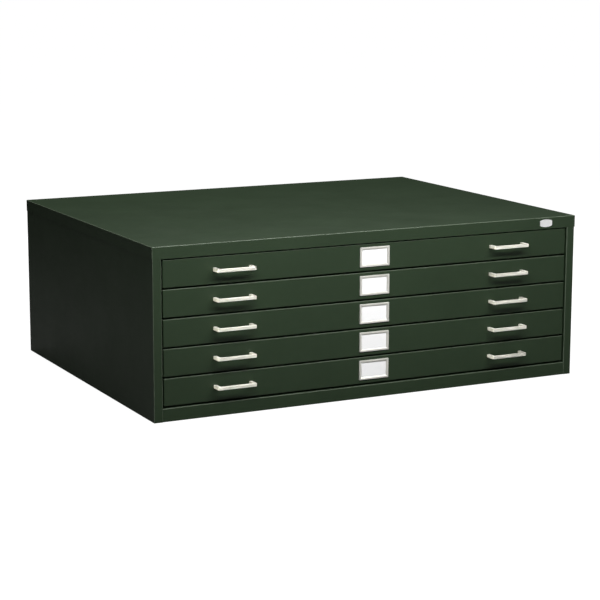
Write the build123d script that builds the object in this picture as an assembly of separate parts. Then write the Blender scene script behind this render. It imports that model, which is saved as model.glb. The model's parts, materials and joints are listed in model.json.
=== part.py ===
from build123d import *
import math
import os

# Five-drawer steel flat file cabinet for 30 x 42 inch sheets, in millimetres.
# X runs across the front, the drawers open towards -Y and Z is up.
# The origin is on the floor, under the middle of the whole cabinet with its pulls.

# ---- Case: driving dimensions ----
cap_width = 1177.9
cap_depth = 898.5
cabinet_height = 419.1
case_sheet = 1.2
bend_radius = 1.6
cap_flange_height = 29.6
stile_width = 22.2
bottom_rail_height = 32.7
case_flange = 18.0
stile_return = 14.0
seam_gap = 2.0

# ---- Drawers: driving dimensions ----
drawer_count = 5
drawer_pitch = 70.7
drawer_sheet = 1.0
front_height = 66.2
front_fold_depth = 14.0
front_side_gap = 4.0
front_recess = 2.6
front_edge_radius = 1.5
lowest_front_bottom = 37.3
tray_half_width = 548.5
tray_depth = 832.0
tray_lift = 4.0
tray_height = 55.0
hem_height = 8.0

# ---- Roller runners ----
roller_radius = 11.0
roller_bore_radius = 4.05
roller_width = 8.0
roller_edge_chamfer = 0.6
roller_groove_depth = 0.7
roller_groove_rim = 2.0
case_roller_side_gap = 3.5
rear_roller_side_gap = 5.0
axle_radius = 4.0
axle_collar_radius = 6.0
axle_end_play = 0.4
axle_head_thickness = 1.3
rolling_gap = 0.3
ledge_height = 34.0
ledge_reach = 12.5
ledge_thickness = 2.0
channel_sheet = 1.0
channel_reach = 23.5
channel_rear_gap = 20.0
case_roller_inset = 30.0
rear_roller_inset = 14.0
drawer_travel = 600.0
stop_tab_thickness = 3.0
stop_tab_reach = 15.5

# ---- Paper flap and rear hood ----
flap_length = 115.0
flap_curl_radius = 3.5
flap_curl_bore = 2.05
flap_hem_radius = 1.6
flap_end_gap = 1.5
flap_rest_gap = 0.4
flap_axis_drop = 6.0
flap_axis_front_gap = 1.0
hinge_pin_radius = 2.0
hinge_pin_reach = 14.0
hinge_pin_head_radius = 4.0
hinge_pin_head_thickness = 1.2
pin_hole_clearance = 0.05
hood_depth = 120.0
hood_lip_run = 7.0
hood_lip_rise = 4.0

# ---- Pulls, label holders and badge ----
pull_length = 101.6
pull_projection = 28.0
pull_bar_height = 8.0
pull_bar_depth = 6.5
pull_post_width = 8.5
pull_outer_radius = 4.5
pull_inner_radius = 2.5
pull_edge_radius = 1.0
pull_offset = 382.5
pull_rise = 1.5
screw_radius = 1.95
screw_hole_clearance = 0.25
screw_depth = 7.0
screw_head_radius = 4.2
screw_head_thickness = 2.2
screw_head_rounding = 1.4
screw_slot_length = 5.4
screw_slot_width = 1.1
screw_slot_depth = 1.0
holder_width = 82.0
holder_height = 49.0
holder_thickness = 3.0
holder_rim = 4.0
holder_slope = 2.6
holder_pocket_depth = 1.0
holder_pocket_rim = 3.0
holder_corner_radius = 1.5
holder_edge_radius = 0.8
holder_rise = 1.0
card_thickness = 0.4
card_play = 0.3
badge_width = 36.0
badge_oval_width = 46.0
badge_height = 19.6
badge_thickness = 1.5
badge_rim = 1.6
badge_corner_radius = 1.5
badge_recess = 0.4
badge_from_right = 90.5

# ---- Worked-out places ----
half_case = cap_width / 2 - case_sheet
half_inside = half_case - case_sheet
half_opening = half_case - stile_width
half_front = half_opening - front_side_gap
case_top = cabinet_height - case_sheet
cap_bottom = cabinet_height - cap_flange_height
case_front = -(front_recess - pull_projection + cap_depth - case_sheet) / 2
case_back = case_front + cap_depth - 2 * case_sheet
front_face = case_front + front_recess
front_back = front_face + front_fold_depth
tray_back = front_back + tray_depth
tray_inner_half = tray_half_width - drawer_sheet
channel_inner = half_inside - channel_reach
channel_web = half_inside - channel_sheet
case_roller_inner = tray_half_width + case_roller_side_gap
rear_roller_inner = channel_inner + rear_roller_side_gap
case_roller_y = case_front + case_roller_inset
rear_roller_y = tray_back - rear_roller_inset
flap_axis_y = front_back + drawer_sheet + flap_curl_radius + flap_axis_front_gap


def block(x_range, y_range, z_range):
    """Rectangular block between the given limits."""
    sizes = [high - low for low, high in (x_range, y_range, z_range)]
    middle = [(high + low) / 2 for low, high in (x_range, y_range, z_range)]
    return Pos(*middle) * Box(*sizes)


def shaft(x_range, radius, y, z):
    """Cylinder along X between two limits."""
    low, high = x_range
    return Pos((low + high) / 2, y, z) * Cylinder(radius, high - low, rotation=(0, 90, 0))


def both_sides(shape):
    """The shape and its mirror image on the cabinet's other side."""
    return shape + mirror(shape, about=Plane.YZ)


def bent_sheet(points, thickness, plane, length):
    """Sheet bent along its outer line, with the metal on the line's left."""
    line = FilletPolyline(*points, radius=bend_radius)
    section = make_face(offset(line, thickness, side=Side.LEFT).edges())
    return extrude(plane * section, length)


def folded_pan(outer, cavity, open_face, radius):
    """Tray-like pressing: a block with rounded folds, hollowed from its open face."""
    sharp = open_face(outer).edges()
    folds = [edge for edge in outer.edges() if edge not in sharp]
    return fillet(folds, radius) - cavity


# ---- Case ----

def make_top_cap():
    """Lid that drops over the case, with a flange all round."""
    y_range = (case_front - case_sheet, case_back + case_sheet)
    outer = block((-cap_width / 2, cap_width / 2), y_range, (cap_bottom, cabinet_height))
    cavity = block((-half_case, half_case), (case_front, case_back), (cap_bottom, case_top))
    return folded_pan(outer, cavity, lambda body: body.faces().sort_by(Axis.Z)[0], bend_radius)


def make_right_side_panel():
    """Side sheet that wraps round the front into the stile, with top and bottom flanges."""
    section = [
        (half_opening, case_front + stile_return),
        (half_opening, case_front),
        (half_case, case_front),
        (half_case, case_back),
    ]
    panel = bent_sheet(section, case_sheet, Plane.XY, case_top)
    flange_x = (half_inside - case_flange, half_inside)
    flange_y = (case_front + stile_return + seam_gap, case_back - case_flange - seam_gap)
    for bottom in (0, case_top - case_sheet):
        panel += block(flange_x, flange_y, (bottom, bottom + case_sheet))
    return panel


def make_back_panel():
    """Back sheet nested between the side panels, with flanges that point forwards."""
    outer = block((-half_inside, half_inside), (case_back - case_flange, case_back), (0, case_top))
    cavity = block(
        (-half_inside + case_sheet, half_inside - case_sheet),
        (case_back - case_flange, case_back - case_sheet),
        (case_sheet, case_top - case_sheet),
    )
    return folded_pan(outer, cavity, lambda body: body.faces().sort_by(Axis.Y)[0], bend_radius)


def make_bottom_panel():
    """Flat dust bottom lying on the bottom flanges."""
    y_range = (case_front + case_flange + seam_gap, case_back - case_flange - seam_gap)
    return block((-half_inside, half_inside), y_range, (case_sheet, 2 * case_sheet))


def make_front_rail(face_bottom, face_top):
    """Cross member between the stiles: a face with a flange back from each edge."""
    section = [
        (case_front + stile_return, face_top),
        (case_front, face_top),
        (case_front, face_bottom),
        (case_front + stile_return, face_bottom),
    ]
    rail = bent_sheet(section, case_sheet, Plane.YZ, 2 * half_opening)
    return Pos(-half_opening, 0, 0) * rail


def make_roller_rail(front_bottom):
    """Channel on the right side panel, with a tab at each end of the rear roller's run."""
    centre = roller_centre(front_bottom)
    half_inner = roller_radius + rolling_gap
    half_outer = half_inner + channel_sheet
    y_range = (case_front + stile_return + seam_gap, case_back - channel_rear_gap)
    outer = block((channel_inner, half_inside), y_range, (centre - half_outer, centre + half_outer))
    inner = block((channel_inner, channel_web), y_range, (centre - half_inner, centre + half_inner))
    rail = outer - inner
    reach = roller_radius + rolling_gap
    stop_rear = rear_roller_y + reach
    stop_front = rear_roller_y - drawer_travel - reach - stop_tab_thickness
    for start in (stop_front, stop_rear):
        rail += block(
            (channel_web - stop_tab_reach, channel_web),
            (start, start + stop_tab_thickness),
            (centre - half_inner, centre + half_inner),
        )
    return rail


def make_case_roller_pin(front_bottom):
    """Axle from the right channel's web inwards, with a collar and a head."""
    centre = roller_centre(front_bottom)
    journal = (case_roller_inner - axle_end_play, case_roller_inner + roller_width + axle_end_play)
    pin = shaft((journal[1], channel_web), axle_collar_radius, case_roller_y, centre)
    pin += shaft(journal, axle_radius, case_roller_y, centre)
    head = (journal[0] - axle_head_thickness, journal[0])
    return pin + shaft(head, axle_collar_radius, case_roller_y, centre)


def badge_outline(inset):
    """Flat oval with its two ends cut square."""
    oval = Ellipse(badge_oval_width / 2 - inset, badge_height / 2 - inset)
    outline = oval & Rectangle(badge_width - 2 * inset, badge_height)
    return fillet(outline.vertices(), badge_corner_radius)


def make_badge():
    """Plain plate with a raised rim on the cap's front flange."""
    plate = extrude(Plane.XZ * badge_outline(0), badge_thickness)
    field_plane = Plane.XZ.offset(badge_thickness - badge_recess)
    plate -= extrude(field_plane * badge_outline(badge_rim), badge_recess)
    middle_z = cabinet_height - cap_flange_height / 2
    return Pos(cap_width / 2 - badge_from_right, case_front - case_sheet, middle_z) * plate


# ---- Drawers ----

def roller_centre(front_bottom):
    """Height of both roller axes of the drawer whose front starts at this height."""
    return front_bottom + tray_lift + ledge_height - rolling_gap - roller_radius


def pull_screw_places(front_bottom):
    """X and Z of the four screws that hold a drawer's two pulls."""
    z = front_bottom + front_height / 2 + pull_rise
    half_span = (pull_length - pull_post_width) / 2
    return [
        (side * pull_offset + end * half_span, z)
        for side in (-1, 1)
        for end in (-1, 1)
    ]


def screw_holes(front_bottom, y_range, radius):
    """Drills for the pull screws."""
    drills = []
    for x, z in pull_screw_places(front_bottom):
        middle = Pos(x, sum(y_range) / 2, z)
        drills.append(middle * Cylinder(radius, y_range[1] - y_range[0], rotation=(90, 0, 0)))
    return drills


def make_front(front_bottom):
    """Folded drawer front, open at the back."""
    z_range = (front_bottom, front_bottom + front_height)
    outer = block((-half_front, half_front), (front_face, front_back), z_range)
    cavity = block(
        (-half_front + drawer_sheet, half_front - drawer_sheet),
        (front_face + drawer_sheet, front_back),
        (z_range[0] + drawer_sheet, z_range[1] - drawer_sheet),
    )
    front = folded_pan(
        outer, cavity, lambda body: body.faces().sort_by(Axis.Y)[-1], front_edge_radius
    )
    radius = screw_radius + screw_hole_clearance
    return front - screw_holes(front_bottom, (front_face, front_back), radius)


def make_tray_side(bottom, top):
    """Right wall of a tray with an outward hem, and the ledge welded to it that runs on the rollers."""
    y_range = (front_back + drawer_sheet, tray_back)
    wall = block((tray_inner_half, tray_half_width), y_range, (bottom + drawer_sheet, top))
    hem_x = (tray_half_width, tray_half_width + drawer_sheet)
    wall += block(hem_x, y_range, (top - hem_height, top))
    pin_hole = (tray_inner_half, hem_x[1])
    pin_hole_radius = hinge_pin_radius + pin_hole_clearance
    wall -= shaft(pin_hole, pin_hole_radius, flap_axis_y, top - flap_axis_drop)
    ledge_x = (tray_half_width, tray_half_width + ledge_reach)
    ledge_z = (bottom + ledge_height, bottom + ledge_height + ledge_thickness)
    return [wall, block(ledge_x, y_range, ledge_z)]


def make_tray(front_bottom):
    """Open tray: bottom sheet, two walls with their ledges, rear wall and the plate behind the front."""
    bottom = front_bottom + tray_lift
    top = bottom + tray_height
    y_range = (front_back + drawer_sheet, tray_back)
    sheet = block((-tray_half_width, tray_half_width), y_range, (bottom, bottom + drawer_sheet))
    rear = block(
        (-tray_inner_half, tray_inner_half),
        (tray_back - drawer_sheet, tray_back),
        (bottom + drawer_sheet, top),
    )
    plate_y = (front_back, front_back + drawer_sheet)
    plate = block((-half_front, half_front), plate_y, (front_bottom, front_bottom + front_height))
    plate -= screw_holes(front_bottom, plate_y, screw_radius + screw_hole_clearance)
    pieces = [sheet, rear, plate]
    for piece in make_tray_side(bottom, top):
        pieces += [piece, mirror(piece, about=Plane.YZ)]
    return Compound(children=[solid for piece in pieces for solid in piece.solids()])


def make_hood(front_bottom):
    """Shelf over the tray's rear that keeps sheets from curling, with an upturned lip."""
    top = front_bottom + tray_lift + tray_height
    rear = tray_back - drawer_sheet
    lip = rear - hood_depth
    section = [(rear, top), (lip, top), (lip - hood_lip_run, top + hood_lip_rise)]
    hood = bent_sheet(section, drawer_sheet, Plane.YZ, 2 * tray_inner_half)
    return Pos(-tray_inner_half, 0, 0) * hood


def make_flap(front_bottom):
    """Hinged paper flap: a curled hinge edge, a blade and a hemmed free edge."""
    bottom = front_bottom + tray_lift
    axis_z = bottom + tray_height - flap_axis_drop
    half_width = tray_inner_half - flap_end_gap
    x_range = (-half_width, half_width)
    hem_drop = flap_curl_radius - drawer_sheet / 2
    fall = axis_z - bottom - drawer_sheet - flap_rest_gap - flap_hem_radius
    rest_angle = math.asin(fall / math.hypot(flap_length, hem_drop))
    rest_angle -= math.atan(hem_drop / flap_length)
    blade_z = (-flap_curl_radius, -flap_curl_radius + drawer_sheet)
    flap = shaft(x_range, flap_curl_radius, 0, 0) + block(x_range, (0, flap_length), blade_z)
    flap += shaft(x_range, flap_hem_radius, flap_length, -hem_drop)
    flap -= shaft(x_range, flap_curl_bore, 0, 0)
    return Pos(0, flap_axis_y, axis_z) * Rot(-math.degrees(rest_angle), 0, 0) * flap


def make_fittings(front_bottom):
    """Rear roller axles, flap hinge pins and pull screws of one drawer."""
    centre = roller_centre(front_bottom)
    journal = (rear_roller_inner - axle_end_play, rear_roller_inner + roller_width + axle_end_play)
    axle = shaft((tray_half_width, journal[0]), axle_collar_radius, rear_roller_y, centre)
    axle += shaft(journal, axle_radius, rear_roller_y, centre)
    head = (journal[1], journal[1] + axle_head_thickness)
    axle += shaft(head, axle_collar_radius, rear_roller_y, centre)

    pin_z = front_bottom + tray_lift + tray_height - flap_axis_drop
    wall = tray_half_width + drawer_sheet
    pin = shaft((tray_inner_half - hinge_pin_reach, wall), hinge_pin_radius, flap_axis_y, pin_z)
    head = (wall, wall + hinge_pin_head_thickness)
    pin += shaft(head, hinge_pin_head_radius, flap_axis_y, pin_z)
    pieces = [axle, mirror(axle, about=Plane.YZ), pin, mirror(pin, about=Plane.YZ)]

    pieces += [make_pull_screw(x, z) for x, z in pull_screw_places(front_bottom)]
    return Compound(children=[solid for piece in pieces for solid in piece.solids()])


def make_pull_screw(x, z):
    """Pan-head screw with a cross recess, from the plate behind the front into a pull's post."""
    shank_length = front_back + drawer_sheet - front_face + screw_depth
    bottom_aligned = (Align.CENTER, Align.CENTER, Align.MIN)
    head = Cylinder(screw_head_radius, screw_head_thickness, align=bottom_aligned)
    head = fillet(head.edges().sort_by(Axis.Z)[-1], screw_head_rounding)
    slot_size = (screw_slot_length, screw_slot_width, screw_slot_depth)
    slot = Pos(0, 0, screw_head_thickness - screw_slot_depth) * Box(*slot_size, align=bottom_aligned)
    head -= [slot, Rot(0, 0, 90) * slot]
    screw = head + Pos(0, 0, -shank_length / 2) * Cylinder(screw_radius, shank_length)
    return Pos(x, front_back + drawer_sheet, z) * Rot(-90, 0, 0) * screw


def make_pulls(front_bottom):
    """Two square-section bow pulls, tapped for their screws."""
    outer = Pos(0, -pull_projection / 2) * Rectangle(pull_length, pull_projection)
    gap = pull_projection - pull_bar_depth
    inner = Pos(0, -gap / 2) * Rectangle(pull_length - 2 * pull_post_width, gap)
    outer = fillet(outer.vertices().group_by(Axis.Y)[0], pull_outer_radius)
    inner = fillet(inner.vertices().group_by(Axis.Y)[0], pull_inner_radius)
    bow = extrude(outer - inner, pull_bar_height / 2, both=True)
    rounded = bow.edges().filter_by(lambda edge: edge.center().Y < 0)
    bow = fillet(rounded, pull_edge_radius)
    z = front_bottom + front_height / 2 + pull_rise
    pulls = [Pos(side * pull_offset, front_face, z) * bow for side in (-1, 1)]
    holes = screw_holes(front_bottom, (front_face - screw_depth, front_face), screw_radius)
    return Compound(children=[solid for pull in pulls for solid in (pull - holes).solids()])


def holder_middle(front_bottom):
    """Middle of the label holder on the drawer's face."""
    return Pos(0, front_face, front_bottom + front_height / 2 + holder_rise)


def make_label_holder(front_bottom):
    """Raised rim with a window that slopes in towards the card pocket."""
    plane = Plane.XZ
    blank = RectangleRounded(holder_width, holder_height, holder_corner_radius)
    holder = extrude(plane * blank, holder_thickness)
    front_edges = holder.faces().sort_by(Axis.Y)[0].edges()
    holder = fillet(front_edges, holder_edge_radius)
    mouth = Rectangle(holder_width - 2 * holder_rim, holder_height - 2 * holder_rim)
    reach = 2 * (holder_rim + holder_slope)
    throat = Rectangle(holder_width - reach, holder_height - reach)
    outer_plane = plane.offset(holder_thickness)
    inner_plane = plane.offset(holder_pocket_depth)
    holder -= loft([outer_plane * mouth, inner_plane * throat])
    pocket = Rectangle(holder_width - 2 * holder_pocket_rim, holder_height - 2 * holder_pocket_rim)
    holder -= extrude(plane * pocket, holder_pocket_depth)
    return holder_middle(front_bottom) * holder


def make_label_card(front_bottom):
    """Paper card in the label holder's pocket."""
    margin = 2 * (holder_pocket_rim + card_play)
    card = Rectangle(holder_width - margin, holder_height - margin)
    return holder_middle(front_bottom) * extrude(Plane.XZ * card, card_thickness)


def make_roller(inner, y, z):
    """Grooved steel roller on the right side, from this inner face outwards."""
    x_range = (inner, inner + roller_width)
    roller = shaft(x_range, roller_radius, y, z)
    roller = chamfer(roller.edges().filter_by(GeomType.CIRCLE), roller_edge_chamfer)
    for start in (x_range[0], x_range[1] - roller_groove_depth):
        side = (start, start + roller_groove_depth)
        groove = shaft(side, roller_radius - roller_groove_rim, y, z) - shaft(side, axle_collar_radius, y, z)
        roller -= groove
    return roller - shaft(x_range, roller_bore_radius, y, z)


def make_roller_pair(front_bottom, inner, y):
    """The same roller on both sides of the cabinet."""
    return both_sides(make_roller(inner, y, roller_centre(front_bottom)))


def drawer_parts(number, front_bottom):
    """All nodes of one drawer, with its case rollers."""
    name = f"drawer_{number}"
    return {
        f"{name}_front": make_front(front_bottom),
        f"{name}_tray": make_tray(front_bottom),
        f"{name}_hood": make_hood(front_bottom),
        f"{name}_flap": make_flap(front_bottom),
        f"{name}_fittings": make_fittings(front_bottom),
        f"{name}_pulls": make_pulls(front_bottom),
        f"{name}_label_holder": make_label_holder(front_bottom),
        f"{name}_label_card": make_label_card(front_bottom),
        f"{name}_rear_rollers": make_roller_pair(front_bottom, rear_roller_inner, rear_roller_y),
        f"case_rollers_{number}": make_roller_pair(front_bottom, case_roller_inner, case_roller_y),
    }


def case_parts(front_bottoms):
    """All fixed nodes of the case."""
    right_panel = make_right_side_panel()
    rails = [both_sides(make_roller_rail(bottom)) for bottom in front_bottoms]
    pins = [both_sides(make_case_roller_pin(bottom)) for bottom in front_bottoms]
    return {
        "top_cap": make_top_cap(),
        "right_side_panel": right_panel,
        "left_side_panel": mirror(right_panel, about=Plane.YZ),
        "back_panel": make_back_panel(),
        "bottom_panel": make_bottom_panel(),
        "bottom_rail": make_front_rail(0, bottom_rail_height),
        "top_rail": make_front_rail(cap_bottom, case_top),
        "roller_rails": Compound(children=[solid for rail in rails for solid in rail.solids()]),
        "case_roller_pins": Compound(children=[solid for pin in pins for solid in pin.solids()]),
        "badge": make_badge(),
    }


# Drawer 1 is the top one.
front_bottoms = [
    lowest_front_bottom + drawer_pitch * (drawer_count - number)
    for number in range(1, drawer_count + 1)
]
parts = case_parts(front_bottoms)
for index, front_bottom in enumerate(front_bottoms):
    parts.update(drawer_parts(index + 1, front_bottom))

os.makedirs("parts", exist_ok=True)
for node, shape in parts.items():
    export_step(shape, f"parts/{node}.step")
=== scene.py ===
import json
import math

import bpy
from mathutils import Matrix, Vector


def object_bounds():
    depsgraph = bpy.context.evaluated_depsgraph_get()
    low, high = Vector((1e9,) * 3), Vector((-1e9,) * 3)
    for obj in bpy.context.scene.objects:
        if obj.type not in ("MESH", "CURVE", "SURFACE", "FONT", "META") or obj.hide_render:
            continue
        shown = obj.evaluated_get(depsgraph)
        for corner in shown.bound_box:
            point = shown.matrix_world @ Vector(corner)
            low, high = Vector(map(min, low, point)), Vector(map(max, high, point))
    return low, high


# Looks of the flat file cabinet: enamel, plated metal and card materials, a pale floor,
# soft studio lights and the camera. Metres, in the CAD frame.

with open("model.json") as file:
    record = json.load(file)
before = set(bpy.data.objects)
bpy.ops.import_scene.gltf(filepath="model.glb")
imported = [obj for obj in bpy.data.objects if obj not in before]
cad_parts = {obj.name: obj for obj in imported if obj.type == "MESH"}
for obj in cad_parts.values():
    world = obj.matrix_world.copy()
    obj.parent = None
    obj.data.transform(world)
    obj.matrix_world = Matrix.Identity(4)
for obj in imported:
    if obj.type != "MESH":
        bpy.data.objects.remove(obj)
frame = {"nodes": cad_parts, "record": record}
cad_low, cad_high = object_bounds()
nodes = frame["nodes"]
record = frame["record"]
scene = bpy.context.scene
drawer_numbers = range(1, 6)

# ---- Camera ----
camera_place = (-2.2047, -4.4016, 1.1143)
camera_pitch_deg = 10.85
camera_azimuth_deg = -26.73
camera_roll_deg = -0.11
camera_lens_mm = 112.55
camera_sensor_mm = 36.0

# ---- Colours, linear ----
enamel_colour = (0.0178, 0.0315, 0.0152)
# Lighter green painted on upward folds as a highlight.
fold_highlight_colour = (0.105, 0.130, 0.095)
nickel_colour = (0.51, 0.50, 0.45)
frame_colour = (0.66, 0.65, 0.60)
zinc_colour = (0.56, 0.57, 0.58)
card_colour = (0.84, 0.84, 0.84)
badge_colour = (0.86, 0.86, 0.86)
floor_colour = (0.16, 0.16, 0.16)
white = (1, 1, 1)
green_light = (0.95, 1.0, 0.84)
warm_light = (1.0, 0.97, 0.84)

# ---- Spans: most values of a noise lie in the first ----
noise_span = (0.3, 0.7)
full_span = (0.0, 1.0)

# ---- Enamel ----
broad_mottle_scale = 5.0
fine_mottle_scale = 60.0
broad_mottle_share = 0.7
mottle_span = (0.35, 0.65)
darkest_mottle = 0.93
lightest_mottle = 1.07
smudge_scale = 11.0
enamel_roughness = (0.385, 0.435)
enamel_specular = 0.24
peel_scale = 330.0
peel_depth = 0.00004
peel_strength = 0.5

# ---- Painted highlights on folds: how far a fold's normal leans off the axes, and how low it may face ----
fold_lean_span = (0.99, 0.93)
fold_fade = 0.2
case_lowest_fold = -0.25
front_lowest_fold = 0.30
fold_highlight_noise_span = (0.35, 0.7)
fold_highlight_amount = (0.7, 1.0)

# ---- Plated metal, zinc, card and floor ----
haze_scale = 90.0
haze_shade = 0.94
plate_roughness_span = (0.75, 1.3)
grain_share = 0.5
grain_depth = 0.00002
grain_strength = 0.35
zinc_cloud_scale = 120.0
zinc_shade = 0.82
zinc_roughness = (0.32, 0.5)
zinc_spangle_scale = 700.0
fibre_scale = 900.0
fibre_stretch = (1.0, 1.0, 0.35)
card_shade = 0.96
card_roughness = (0.8, 0.95)
card_specular = 0.2
soft_bump_depth = 0.00003
soft_bump_strength = 0.4
floor_half_size = 40.0
floor_drop = 0.0004
floor_speckle_scale = 40.0
floor_shade = 0.96
floor_roughness = 0.9
floor_glow_distance = (0.7, 1.6)
floor_glow = (0.93, 1.0)
world_strength = (0.015, 1.0)


# ---- Node helpers ----

def new_material(name):
    """Material with an empty node tree, and its Principled shader."""
    material = bpy.data.materials.new(name)
    material.use_nodes = True
    tree = material.node_tree
    tree.nodes.clear()
    output = tree.nodes.new("ShaderNodeOutputMaterial")
    shader = tree.nodes.new("ShaderNodeBsdfPrincipled")
    tree.links.new(shader.outputs["BSDF"], output.inputs["Surface"])
    return material, tree, shader


def object_point(tree):
    """Position on the piece, in the CAD frame."""
    return tree.nodes.new("ShaderNodeTexCoord").outputs["Object"]


def stretched(tree, point, scale):
    """The point with each axis scaled, for grain that runs one way."""
    mapping = tree.nodes.new("ShaderNodeMapping")
    mapping.inputs["Scale"].default_value = scale
    tree.links.new(point, mapping.inputs["Vector"])
    return mapping.outputs["Vector"]


def noise(tree, point, scale, detail, roughness=0.5):
    """Smooth noise from 0 to 1, with this many waves a metre and this many finer layers."""
    texture = tree.nodes.new("ShaderNodeTexNoise")
    texture.inputs["Scale"].default_value = scale
    texture.inputs["Detail"].default_value = detail
    texture.inputs["Roughness"].default_value = roughness
    tree.links.new(point, texture.inputs["Vector"])
    return texture.outputs["Fac"]


def remap(tree, value, source, target):
    """Value from one span to another, clamped."""
    ramp = tree.nodes.new("ShaderNodeMapRange")
    ramp.inputs["From Min"].default_value = source[0]
    ramp.inputs["From Max"].default_value = source[1]
    ramp.inputs["To Min"].default_value = target[0]
    ramp.inputs["To Max"].default_value = target[1]
    tree.links.new(value, ramp.inputs["Value"])
    return ramp.outputs["Result"]


def maths(tree, operation, *values):
    """Math node on numbers or sockets."""
    node = tree.nodes.new("ShaderNodeMath")
    node.operation = operation
    for socket, value in zip(node.inputs, values):
        if isinstance(value, (int, float)):
            socket.default_value = value
        else:
            tree.links.new(value, socket)
    return node.outputs["Value"]


def blended(tree, first, second, first_share):
    """Sum of two noises, where the first has this share of the whole."""
    first_part = maths(tree, "MULTIPLY", first, first_share)
    second_part = maths(tree, "MULTIPLY", second, 1.0 - first_share)
    return maths(tree, "ADD", first_part, second_part)


def mixed_colour(tree, factor, first, second):
    """Colour between two others."""
    mix = tree.nodes.new("ShaderNodeMix")
    mix.data_type = "RGBA"
    tree.links.new(factor, mix.inputs["Factor"])
    for name, colour in (("A", first), ("B", second)):
        socket = [s for s in mix.inputs if s.name == name and s.type == "RGBA"][0]
        if isinstance(colour, tuple):
            socket.default_value = (*colour, 1)
        else:
            tree.links.new(colour, socket)
    return [s for s in mix.outputs if s.type == "RGBA"][0]


def bumped(tree, shader, height, distance, strength):
    """Gives the shader a bump from a height, in metres."""
    bump = tree.nodes.new("ShaderNodeBump")
    bump.inputs["Strength"].default_value = strength
    bump.inputs["Distance"].default_value = distance
    tree.links.new(height, bump.inputs["Height"])
    tree.links.new(bump.outputs["Normal"], shader.inputs["Normal"])


def shade(colour, amount):
    """Colour made lighter or darker."""
    return tuple(channel * amount for channel in colour)


# ---- Enamel ----

def fold_mask(tree, lowest):
    """1 on rounded folds that face no lower than this, and 0 on faces square to an axis."""
    normal = tree.nodes.new("ShaderNodeTexCoord").outputs["Normal"]
    parts = tree.nodes.new("ShaderNodeSeparateXYZ")
    tree.links.new(normal, parts.inputs["Vector"])
    sizes = [maths(tree, "ABSOLUTE", parts.outputs[axis]) for axis in "XYZ"]
    largest = maths(tree, "MAXIMUM", maths(tree, "MAXIMUM", sizes[0], sizes[1]), sizes[2])
    rounded = remap(tree, largest, fold_lean_span, full_span)
    raised = remap(tree, parts.outputs["Z"], (lowest, lowest + fold_fade), full_span)
    return maths(tree, "MULTIPLY", rounded, raised)


def make_enamel(name, lowest_fold=None):
    """Semi-gloss baked enamel: orange peel, soft mottling, smudges and, if wanted, a painted highlight
    on upward folds.
    """
    material, tree, shader = new_material(name)
    point = object_point(tree)
    broad = noise(tree, point, broad_mottle_scale, detail=4.0, roughness=0.55)
    fine = noise(tree, point, fine_mottle_scale, detail=3.0, roughness=0.6)
    cloud = blended(tree, broad, fine, broad_mottle_share)
    darker = shade(enamel_colour, darkest_mottle)
    lighter = shade(enamel_colour, lightest_mottle)
    colour = mixed_colour(tree, remap(tree, cloud, mottle_span, full_span), darker, lighter)
    # Painted highlight: folds that face upwards get the lighter green, varied by fine noise.
    if lowest_fold is not None:
        fold = fold_mask(tree, lowest_fold)
        fold_highlight_share = maths(tree, "MULTIPLY", fold, remap(tree, fine, fold_highlight_noise_span, fold_highlight_amount))
        colour = mixed_colour(tree, fold_highlight_share, colour, fold_highlight_colour)
    tree.links.new(colour, shader.inputs["Base Color"])
    smudge = noise(tree, point, smudge_scale, detail=5.0, roughness=0.65)
    roughness = remap(tree, smudge, noise_span, enamel_roughness)
    tree.links.new(roughness, shader.inputs["Roughness"])
    shader.inputs["Specular IOR Level"].default_value = enamel_specular
    peel = noise(tree, point, peel_scale, detail=2.0)
    bumped(tree, shader, peel, peel_depth, peel_strength)
    return material


# ---- Plated metal, zinc and card ----

def make_plate(name, colour, metallic, roughness, grain_stretch, grain_scale):
    """Bright plated metal with a faint drawn grain along X and a soft haze."""
    material, tree, shader = new_material(name)
    point = object_point(tree)
    grain = noise(tree, stretched(tree, point, grain_stretch), grain_scale, detail=2.0)
    haze = noise(tree, point, haze_scale, detail=4.0, roughness=0.6)
    tone = remap(tree, haze, noise_span, full_span)
    base = mixed_colour(tree, tone, shade(colour, haze_shade), colour)
    tree.links.new(base, shader.inputs["Base Color"])
    blend = blended(tree, grain, haze, grain_share)
    rough_span = [roughness * factor for factor in plate_roughness_span]
    tree.links.new(remap(tree, blend, noise_span, rough_span), shader.inputs["Roughness"])
    shader.inputs["Metallic"].default_value = metallic
    bumped(tree, shader, grain, grain_depth, grain_strength)
    return material


def make_zinc():
    """Zinc-plated steel: cloudy passivation over a dull metal."""
    material, tree, shader = new_material("zinc_plate")
    point = object_point(tree)
    cloud = noise(tree, point, zinc_cloud_scale, detail=5.0, roughness=0.65)
    tone = remap(tree, cloud, noise_span, full_span)
    base = mixed_colour(tree, tone, shade(zinc_colour, zinc_shade), zinc_colour)
    tree.links.new(base, shader.inputs["Base Color"])
    tree.links.new(remap(tree, cloud, noise_span, zinc_roughness), shader.inputs["Roughness"])
    shader.inputs["Metallic"].default_value = 1.0
    spangle = noise(tree, point, zinc_spangle_scale, detail=2.0)
    bumped(tree, shader, spangle, soft_bump_depth, soft_bump_strength)
    return material


def make_card():
    """Uncoated card with faint fibres."""
    material, tree, shader = new_material("card_paper")
    point = object_point(tree)
    fibre = noise(tree, stretched(tree, point, fibre_stretch), fibre_scale, detail=4.0, roughness=0.7)
    tone = remap(tree, fibre, noise_span, full_span)
    base = mixed_colour(tree, tone, shade(card_colour, card_shade), card_colour)
    tree.links.new(base, shader.inputs["Base Color"])
    tree.links.new(remap(tree, fibre, noise_span, card_roughness), shader.inputs["Roughness"])
    shader.inputs["Specular IOR Level"].default_value = card_specular
    bumped(tree, shader, fibre, soft_bump_depth, soft_bump_strength)
    return material


# ---- Materials on the CAD nodes ----

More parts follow.
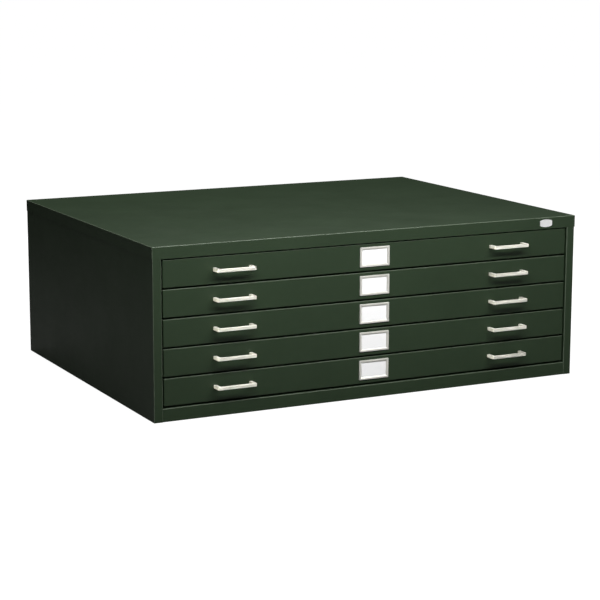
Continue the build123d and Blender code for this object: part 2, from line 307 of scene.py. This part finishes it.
enamel = make_enamel("enamel_case", case_lowest_fold)
front_enamel = make_enamel("enamel_fronts", front_lowest_fold)
inner_enamel = make_enamel("enamel_inside")
nickel = make_plate(
    "nickel_plate",
    nickel_colour,
    metallic=0.40,
    roughness=0.40,
    grain_stretch=(0.02, 1.0, 1.0),
    grain_scale=1500.0,
)
bright_frame = make_plate(
    "bright_frame",
    frame_colour,
    metallic=0.42,
    roughness=0.36,
    grain_stretch=(0.1, 1.0, 1.0),
    grain_scale=900.0,
)
badge_plate = make_plate(
    "badge_plate",
    badge_colour,
    metallic=0.50,
    roughness=0.36,
    grain_stretch=(0.05, 1.0, 1.0),
    grain_scale=1600.0,
)
slot_materials = {
    "enamel": enamel,
    "nickel": nickel,
    "label_frame": bright_frame,
    "card": make_card(),
    "zinc": make_zinc(),
    "badge_plate": badge_plate,
}


def paint(node, material):
    """Puts one material on a CAD node."""
    slots = nodes[node].data.materials
    slots.clear()
    slots.append(material)


for row in record["subparts"]:
    paint(row["node"], slot_materials[row["material_slot"]])
for number in drawer_numbers:
    # The top drawer's upper fold lies in the cap's shadow, so it gets no painted highlight.
    paint(f"drawer_{number}_front", inner_enamel if number == 1 else front_enamel)
    for piece in ("tray", "hood", "flap"):
        paint(f"drawer_{number}_{piece}", inner_enamel)


# ---- Floor, lights and camera ----

def make_floor():
    """Pale floor: white to the camera with a faint contact shadow, and a weak bounce on the object."""
    half = floor_half_size
    mesh = bpy.data.meshes.new("floor")
    corners = [(-half, -half, 0), (half, -half, 0), (half, half, 0), (-half, half, 0)]
    mesh.from_pydata(corners, [], [(0, 1, 2, 3)])
    floor = bpy.data.objects.new("floor", mesh)
    floor.location.z = cad_low.z - floor_drop
    scene.collection.objects.link(floor)
    material, tree, shader = new_material("floor_paper")
    speckle = noise(tree, object_point(tree), floor_speckle_scale, detail=2.0)
    tone = mixed_colour(tree, speckle, shade(floor_colour, floor_shade), floor_colour)
    tree.links.new(tone, shader.inputs["Base Color"])
    shader.inputs["Roughness"].default_value = floor_roughness
    shader.inputs["Specular IOR Level"].default_value = 0.0
    ray = tree.nodes.new("ShaderNodeLightPath")
    distance = tree.nodes.new("ShaderNodeVectorMath")
    distance.operation = "LENGTH"
    tree.links.new(object_point(tree), distance.inputs[0])
    glow = remap(tree, distance.outputs["Value"], floor_glow_distance, floor_glow)
    lift = maths(tree, "MULTIPLY", ray.outputs["Is Camera Ray"], glow)
    shader.inputs["Emission Color"].default_value = (*white, 1)
    tree.links.new(lift, shader.inputs["Emission Strength"])
    mesh.materials.append(material)


def make_world():
    """White to the camera, dim to everything else."""
    world = bpy.data.worlds.new("studio")
    world.use_nodes = True
    tree = world.node_tree
    background = tree.nodes["Background"]
    ray = tree.nodes.new("ShaderNodeLightPath")
    strength = remap(tree, ray.outputs["Is Camera Ray"], full_span, world_strength)
    tree.links.new(strength, background.inputs["Strength"])
    background.inputs["Color"].default_value = (*white, 1)
    scene.world = world


def add_light(name, place, target, size, power, colour=white, lit_nodes=()):
    """Rectangular soft light that faces a target, for all pieces or only for some nodes."""
    data = bpy.data.lights.new(name, "AREA")
    data.shape = "RECTANGLE"
    data.size, data.size_y = size
    data.energy = power
    data.color = colour
    light = bpy.data.objects.new(name, data)
    light.location = place
    aim = Vector(target) - Vector(place)
    light.rotation_mode = "QUATERNION"
    light.rotation_quaternion = aim.to_track_quat("-Z", "Y")
    light.visible_camera = False
    scene.collection.objects.link(light)
    if lit_nodes:
        lit = bpy.data.collections.new(f"lit_by_{name}")
        for node in lit_nodes:
            lit.objects.link(nodes[node])
        light.light_linking.receiver_collection = lit


def make_lights():
    """Key over the front, overhead behind it, fills all round and one light for the pulls alone."""
    add_light(
        "key",
        place=(-0.1, -1.18, 1.06),
        target=(0.0, -0.43, 0.22),
        size=(1.8, 0.16),
        power=26.0,
    )
    add_light(
        "overhead",
        place=(0.0, 0.55, 2.5),
        target=(0.0, 0.25, 0.4),
        size=(2.6, 0.4),
        power=68.0,
    )
    add_light(
        "left_fill",
        place=(-2.6, 0.2, 1.1),
        target=(-0.4, 0.0, 0.2),
        size=(1.6, 1.2),
        power=3.8,
        colour=green_light,
    )
    add_light(
        "front_low",
        place=(0.3, -3.0, 0.7),
        target=(0.0, -0.4, 0.2),
        size=(2.5, 0.8),
        power=6.0,
    )
    add_light(
        "right_low",
        place=(1.7, -2.2, 0.45),
        target=(0.2, -0.4, 0.25),
        size=(1.2, 0.5),
        power=1.5,
    )
    # The right and back fills stay lower than the cap, so they don't light its top.
    add_light(
        "right_fill",
        place=(2.4, 0.1, 0.27),
        target=(0.5, 0.0, 0.24),
        size=(1.6, 0.22),
        power=26.0,
    )
    add_light(
        "back_fill",
        place=(0.9, 2.3, 0.27),
        target=(0.2, 0.4, 0.24),
        size=(1.2, 0.22),
        power=34.0,
    )
    add_light(
        "left_kicker",
        place=(-2.2, -0.75, 0.4),
        target=(0.0, -0.47, 0.22),
        size=(0.6, 0.8),
        power=54.0,
        colour=warm_light,
        lit_nodes=[f"drawer_{number}_pulls" for number in drawer_numbers],
    )


def make_camera():
    """Camera at the product photo's angle, framed without shift."""
    data = bpy.data.cameras.new("camera")
    data.lens = camera_lens_mm
    data.sensor_width = camera_sensor_mm
    camera = bpy.data.objects.new("camera", data)
    camera.location = camera_place
    camera.rotation_euler = (
        math.radians(90 - camera_pitch_deg),
        math.radians(camera_roll_deg),
        math.radians(camera_azimuth_deg),
    )
    scene.collection.objects.link(camera)
    scene.camera = camera


make_floor()
make_world()
make_lights()
make_camera()

scene.view_settings.view_transform = "Standard"
scene.view_settings.look = "None"
scene.cycles.use_denoising = True
